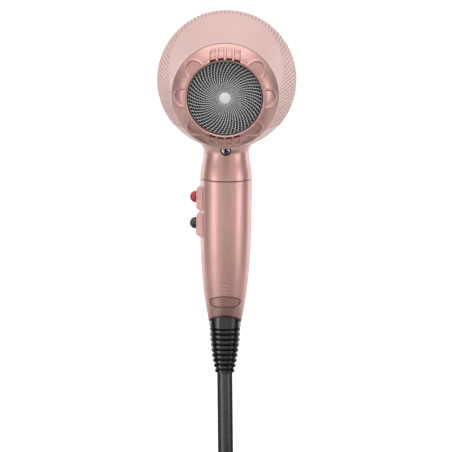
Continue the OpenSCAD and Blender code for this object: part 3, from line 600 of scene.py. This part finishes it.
# filter: spiral bars crossing rings, a plain boss and dark foam behind
filterSpec = {
    "station": -0.0517,  # rear face along the barrel
    "thick": 0.0006,
    "radius": 0.0234,
    "frame": 0.0007,  # width of the dark ring round the screen
    "hub": 0.0034,
    "hubRise": 0.0009,
    "hubBack": (1.04, 0.0003),  # share of the radius at its edge, and depth behind the bars
    "hubSteps": 12,
    "bars": 56,
    "barRoot": 0.0006,  # how far a bar runs into the hub
    "barWidth": 0.00039,
    "slim": (0.009, 0.75),  # radius inside which bars get narrower, and the least share
    "sweep": 24.0,  # turn of a bar from hub to edge, in degrees
    "curl": 1.3,  # power that keeps the bars straight near the hub
    "barGrid": (28, 6),  # points along and round a bar
    "rings": 13,
    "ringWidth": 0.0003,
    "ringThick": 0.8,  # share of the bars' thickness
    "ringBack": 0.55,  # share of that thickness behind their face
    "ringSpacing": 0.92,  # power that sets the outer rings closer
    "sharp": 50,
}
foamSpec = {
    "front": -0.0509,  # station of the flat face
    "face": 0.0226,  # its radius
    "edge": -0.0515,  # station of the raised edge
    "rim": (0.0228, 0.0233, 0.02335),  # radii of the raised edge: inner, outer and widest
    "step": -0.0505,  # station at which the disc gets narrower
    "waist": 0.0217,  # radius behind that
    "back": -0.0488,
}


def spiralBars(f):  # an oval section carried along a spiral whose angle grows with a power of the radius
    rows, sides = f["barGrid"]
    r = np.linspace(f["hub"] - f["barRoot"], f["radius"] - f["frame"], rows)
    turn = np.radians(f["sweep"]) * ((r - r[0]) / (r[-1] - r[0])) ** f["curl"]
    a = fullTurn(f["bars"])[:, None] + turn
    b = fullTurn(sides)
    reach, least = f["slim"]
    width = f["barWidth"] * np.clip(r / reach, least, 1.0)
    side = np.cos(b) * width[:, None] / 2
    depth = np.sin(b) * f["thick"] / 2
    slant = np.arctan2(r * np.gradient(turn, r), 1.0)[:, None]
    angle = a[:, :, None] + side * np.cos(slant) / r[:, None]
    radial = r[:, None] - side * np.sin(slant)
    skin = onBarrel(radial * np.cos(angle), -radial * np.sin(angle), f["station"] + f["thick"] / 2 - depth)
    ends = [np.broadcast_to(skin[:, i].mean(1)[:, None, None], (f["bars"], 1, sides, 3)) for i in (0, -1)]
    points = np.concatenate([ends[0], skin, ends[1]], 1).reshape(f["bars"], -1, 3)
    faces = gridFaces(rows + 2, sides, closeCols=True)
    return [(p, faces) for p in points]


def flatRing(radius, width, thick, station, steps=160, sides=8):  # an oval section carried round a circle
    a, b = fullTurn(steps)[:, None], fullTurn(sides)
    r = radius + np.cos(b) * width / 2
    points = onBarrel(np.cos(a) * r, np.sin(a) * r, station + np.sin(b) * thick / 2)
    return points.reshape(-1, 3), gridFaces(steps, sides, True, True)


def turned(profile, steps=96):  # a profile of radii and stations, turned about the barrel's axis
    a = fullTurn(steps)[:, None]
    r, s = np.asarray(profile).T
    points = onBarrel(np.cos(a) * r, np.sin(a) * r, s)
    return points.reshape(-1, 3), gridFaces(steps, len(s), closeRows=True)


def screenBars(f):  # the bars and the boss they spring from, domed by the square of the radius
    middle = f["station"] + f["thick"] / 2
    edge, depth = f["hubBack"]
    back = middle + depth
    shares = np.linspace(0, 1, f["hubSteps"])
    dome = [(f["hub"] * q, f["station"] - f["hubRise"] * (1 - q ** 2)) for q in shares]
    boss = turned(dome + [(f["hub"] * edge, middle), (f["hub"], back), (0, back)])
    return joinGrids(spiralBars(f) + [boss])


def screenRings(f):  # the fainter rings just behind the bars
    share = (np.arange(1, f["rings"] + 1) / f["rings"]) ** f["ringSpacing"]
    radii = f["hub"] + (f["radius"] - f["frame"] - f["hub"]) * share
    thick, station = f["thick"] * f["ringThick"], f["station"] + f["thick"] * f["ringBack"]
    return joinGrids([flatRing(r, f["ringWidth"], thick, station) for r in radii])


def foamDisc(f):  # a flat disc with a raised edge in front and a narrower back
    inner, outer, widest = f["rim"]
    return turned([(0, f["front"]), (f["face"], f["front"]), (inner, f["edge"]), (outer, f["edge"]),
                   (widest, f["step"]), (f["waist"], f["step"]), (f["waist"], f["back"]), (0, f["back"])])


screenMesh = closedMesh("filterScreen", *screenBars(filterSpec), filterSpec["sharp"])
addPiece("filterScreen", screenMesh, "cap", screenFinish, ("filter_screen",))
addPiece("filterRings", closedMesh("filterRings", *screenRings(filterSpec)), "cap", ringFinish)
addPiece("filterFoam", closedMesh("filterFoam", *foamDisc(foamSpec)), "cap", foamFinish)
print("filter: %d faces" % len(screenMesh.polygons))


# rear cap: one turned skin whose arches, channels and slots are moved in along the barrel
capSpec = {
    "seamRadius": 0.0331,
    "seamEdge": -0.04545,  # the edge that faces the barrel
    "rimRadius": 0.0258,
    "rimTop": -0.0534,
    "rimWall": 0.0024,
    "rimRise": 0.0014,
    # degrees round the rim, with a close pair at each edge of a slot
    "rimTurns": (180, 165, 150, 135, 120, 110, 100.2, 99.2, 90, 75, 60, 45, 33, 24.2, 23, 12, 0),
    "dome": (0.4764, 57.65),  # slope at the rim and how it grows
    "domeSteps": 72,
    "archAngles": (47, 90, 137, 223, 270, 313),  # from the top
    "archEnd": 0.0257,  # centre of the round end
    "archHalf": 0.0052,
    "archDepth": 0.0009,
    "archWall": 0.0008,
    "bead": 0.00045,  # height of the bead round an arch
    "beadHalf": 0.0007,
    "channels": (-0.0075, -0.0025, 0.0025, 0.0075),
    "channelHalf": 0.0018,
    "channelDepth": 0.0015,
    "channelWall": 0.00025,
    "channelEnd": 0.0327,
    "channelFade": 0.0046,  # length over which a channel runs out
    "slot": (0.0244, 0.0257, -0.0475),  # inner and outer radius, and its bottom
    "spigot": (0.0266, 0.02854, -0.0369),  # inner and outer radius, and its end
    "lugs": 3,
    "lugStart": -0.0389,
    "lugWall": 0.0001,
    "lugRise": 0.0018,
    "lugLimit": -0.77,  # a lug stands where the sine of the turn is below this
    "web": -0.0442,  # front of the web inside
    "bore": 0.0218,
    "seat": (0.0234, -0.0505),  # radius and station of the filter's seat
    "steps": 720,
    "sharp": 38,
}


def smoothStep(v):  # zero to one with flat ends
    v = np.clip(v, 0, 1)
    return v * v * (3 - 2 * v)


def capProfile(c):  # radii and stations: half round rim, parabola, spigot, lugs, inside; kinds 0 to 4
    half = c["rimWall"] / 2
    middle = c["rimRadius"] - half
    b = np.radians(c["rimTurns"])
    rim = np.stack([middle + half * np.cos(b), c["rimTop"] + half - half * np.sin(b)], 1)
    q = np.linspace(0, c["seamRadius"] - c["rimRadius"], c["domeSteps"])
    slope, growth = c["dome"]
    dome = np.stack([c["rimRadius"] + q, c["rimTop"] + c["rimRise"] + q * slope + q * q * growth], 1)
    inner, outer, end = c["spigot"]
    spigot = [(outer, c["seamEdge"]), (outer, c["lugStart"] - c["lugWall"])]
    lugs = [(outer, c["lugStart"]), (outer, end)]
    inside = [(inner, end), (inner, c["web"]), (c["bore"], c["web"]), (c["bore"], c["seat"][1]), c["seat"]]
    parts = [rim, dome, np.array(spigot), np.array(lugs), np.array(inside)]
    return np.concatenate(parts), np.repeat(np.arange(len(parts)), [len(p) for p in parts])


def capSkin(c):  # the profile turned once; features move points by a smooth step of their distance
    profile, kind = capProfile(c)
    a = fullTurn(c["steps"])[:, None]
    r, s = (v + 0 * a for v in profile.T)
    x = r * np.sin(a)
    sunk, raised = 0 * r, 0 * r
    for turn in np.radians(c["archAngles"]):
        along, across = r * np.cos(a - turn), np.abs(r * np.sin(a - turn))
        beyond = np.maximum(along - c["archEnd"], 0)
        away = np.where(along > 0, np.hypot(beyond, across), 1) - c["archHalf"]
        sunk = np.maximum(sunk, c["archDepth"] * smoothStep(0.5 - away / c["archWall"]))
        crest = 1 - np.abs(away - c["beadHalf"]) / c["beadHalf"]
        raised = np.maximum(raised, c["bead"] * smoothStep(crest))
    fade = smoothStep((c["channelEnd"] - r) / c["channelFade"]) * c["channelDepth"]
    slotInner, slotOuter, slotBottom = c["slot"]
    slotBand = (kind == 0) & (r > slotInner) & (r < slotOuter)
    for middle in c["channels"]:
        inside = c["channelHalf"] - np.abs(x - middle)
        sunk = np.maximum(sunk, fade * np.clip(inside / c["channelWall"] + 0.5, 0, 1))
        s = np.where(slotBand & (inside > 0), slotBottom, s)
    s = s + np.where(kind == 1, sunk - raised, 0)
    wider = r + np.where((kind == 3) & (np.sin(c["lugs"] * a) < c["lugLimit"]), c["lugRise"], 0)
    points = onBarrel(wider * np.sin(a), wider * np.cos(a), s)
    return points.reshape(-1, 3), gridFaces(c["steps"], len(profile), True, True)


capMesh = closedMesh("capSkin", *capSkin(capSpec), capSpec["sharp"])
addPiece("capSkin", capMesh, "cap", trimFinish, ("rear_cap",))
print("cap: %d faces" % len(capMesh.polygons))


# shells: copies of the solids with merged points, so that neighbouring bands shade as one curve
softEdges = {"barrel_shell": 34, "nose_shell": 24, "grip_rear_shell": 24, "grip_front_shell": 24,
             "press_flap": 24, "cord_guard": 30}  # degrees up to which an edge looks round


def smoothCopy(node, angle):  # stands for a node with the same form, finish and body
    source = nodes[node]
    mesh = source.data.copy()
    bm = bmesh.new()
    bm.from_mesh(mesh)
    bmesh.ops.remove_doubles(bm, verts=bm.verts, dist=merge["solid"])
    bm.to_mesh(mesh)
    bm.free()
    if "custom_normal" in mesh.attributes:
        mesh.attributes.remove(mesh.attributes["custom_normal"])
    mesh.shade_smooth()
    mesh.set_sharp_from_angle(angle=math.radians(angle))
    first, *others = node.split("_")
    name = first + "".join(word.capitalize() for word in others)
    addPiece(name, mesh, source["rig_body"], source.data.materials[0], (node,))


for node, angle in softEdges.items():
    smoothCopy(node, angle)
print("shells:", len(softEdges))


studio = {
    "floorZ": -0.40,
    "floorSize": 14.0,
    "floorTone": 0.8,
    "glow": (0.56, 0.88),  # own light of the floor in the picture, near and far; lamps bring it to white
    "glowReach": (0.6, 1.6),  # distances of near and far
    "fill": 0.235,  # world light on everything but mirrors
}
lamps = {
    "topBox": {"place": (0.0, -0.35, 1.5), "aim": 0.08, "size": (2.2, 1.6), "power": 22},
    "leftBox": {"place": (-1.03, -0.776, -0.11), "aim": 0.0, "size": (0.5, 0.56), "power": 2.4},
    "rightBox": {"place": (1.138, -0.605, -0.04), "aim": 0.0, "size": (0.5, 0.5), "power": 2.6},
    "frontFill": {"place": (0.0, -2.2, 1.7), "aim": 0.05, "size": (1.6, 1.0), "power": 8},
    "leftRim": {"place": (-1.2, 1.0, 0.2), "aim": 0.05, "size": (0.6, 1.2), "power": 2.8},
    "rightRim": {"place": (1.2, 1.0, 0.2), "aim": 0.05, "size": (0.6, 1.2), "power": 2.8},
    "leftLow": {"place": (-0.6, 0.35, -0.25), "aim": 0.1, "size": (0.5, 0.4), "power": 1.2,
               "mirrored": False},
    "rightLow": {"place": (0.6, 0.35, -0.25), "aim": 0.1, "size": (0.5, 0.4), "power": 1.2,
                "mirrored": False},
}
# dark cards that only mirrors see: upright ones on both sides, one on the floor and one in front
cards = {
    "tone": (0.03, 0.03, 0.03),
    "upright": {"sideCard": (1.3, (79, 112), 0.55),  # reach, angles from the front, and top
                "cordCard": (0.28, (72, 177), -0.105)},
    "low": [(-0.3, -1.2), (1.0, -1.2), (1.0, -0.3), (-0.3, -0.1)],
    "lowLift": 0.02,  # above the floor
    "eye": [(-0.5, 0.15), (0.5, 0.15), (0.5, 0.9), (-0.5, 0.9)],
    "eyePlace": -2.2,
}


def addLamp(name, place, aim, size, power, mirrored=True):  # aim is a height over the middle of the floor
    data = bpy.data.lights.new(name, "AREA")
    data.shape = "RECTANGLE"
    data.size, data.size_y = size
    data.energy = power
    lamp = bpy.data.objects.new(name, data)
    scene.collection.objects.link(lamp)
    lamp.location = place
    lamp.rotation_mode = "QUATERNION"
    lamp.rotation_quaternion = (Vector((0, 0, aim)) - Vector(place)).to_track_quat("-Z", "Y")
    lamp.visible_camera = False
    lamp.visible_glossy = mirrored


def forRays(g, kinds, shader, other):  # one shader for some kinds of rays, another for the rest
    share = sum(g.add("ShaderNodeLightPath", output="Is %s Ray" % kind) for kind in kinds)
    return g.add("ShaderNodeMixShader", None, {0: share, 1: other, 2: shader})


def makeWorld(s):  # white for the picture and mirrors, a low fill for everything else
    g = Graph(bpy.data.worlds.new("studio"), "ShaderNodeOutputWorld")
    white, fill = (g.add("ShaderNodeBackground", None, {"Color": (1, 1, 1, 1), "Strength": v})
                   for v in (1.0, s["fill"]))
    scene.world = g.close(forRays(g, ("Camera", "Glossy", "Transmission"), white, fill))


def addPanel(name, corners, finish, mirrorOnly=False):  # a flat stage piece from its four corners
    mesh = makeMesh(name, np.array(corners), np.array([[0, 1, 2, 3]]))
    mesh.materials.append(finish)
    panel = bpy.data.objects.new(name, mesh)
    scene.collection.objects.link(panel)
    if mirrorOnly:
        panel.visible_camera = panel.visible_diffuse = panel.visible_shadow = False


def makeFloor(s):  # white in the picture and in mirrors, plain matte for the light it throws back
    g = newFinish("paleFloor")
    matte = g.add("ShaderNodeBsdfDiffuse", None, {"Color": rgba([s["floorTone"]] * 3)})
    away = g.spread(g.length(*g.axes()[:2]), *s["glowReach"])
    level = g.mix(away, *([v] * 3 for v in s["glow"]))
    glow = g.add("ShaderNodeEmission", None, {"Color": level, "Strength": 1.0})
    white = g.add("ShaderNodeEmission", None, {"Color": (1, 1, 1, 1), "Strength": 1.0})
    seen = g.add("ShaderNodeAddShader", None, {0: glow, 1: matte})
    half, height = s["floorSize"] / 2, s["floorZ"]
    corners = [(x, y, height) for x, y in ((-half, -half), (half, -half), (half, half), (-half, half))]
    mirrored = forRays(g, ("Glossy", "Transmission"), white, matte)
    addPanel("floor", corners, g.close(forRays(g, ("Camera",), seen, mirrored)))


def addCards(c, floor):  # they put the darker bands into the lacquer, as in a photographer's tent
    g = newFinish("darkCard")
    finish = g.close(g.add("ShaderNodeBsdfDiffuse", None, {"Color": rgba(c["tone"])}))
    for side in (-1, 1):
        for name, (reach, angles, top) in c["upright"].items():
            near, far = ((side * reach * math.sin(a), -reach * math.cos(a)) for a in np.radians(angles))
            addPanel(name, [(*near, floor), (*far, floor), (*far, top), (*near, top)], finish, True)
    addPanel("lowCard", [(x, y, floor + c["lowLift"]) for x, y in c["low"]], finish, True)
    addPanel("eyeCard", [(x, c["eyePlace"], z) for x, z in c["eye"]], finish, True)


for name, lamp in lamps.items():
    addLamp(name, **lamp)
makeWorld(studio)
makeFloor(studio)
addCards(cards, studio["floorZ"])
scene.view_settings.view_transform = "Standard"
print("studio: ready")
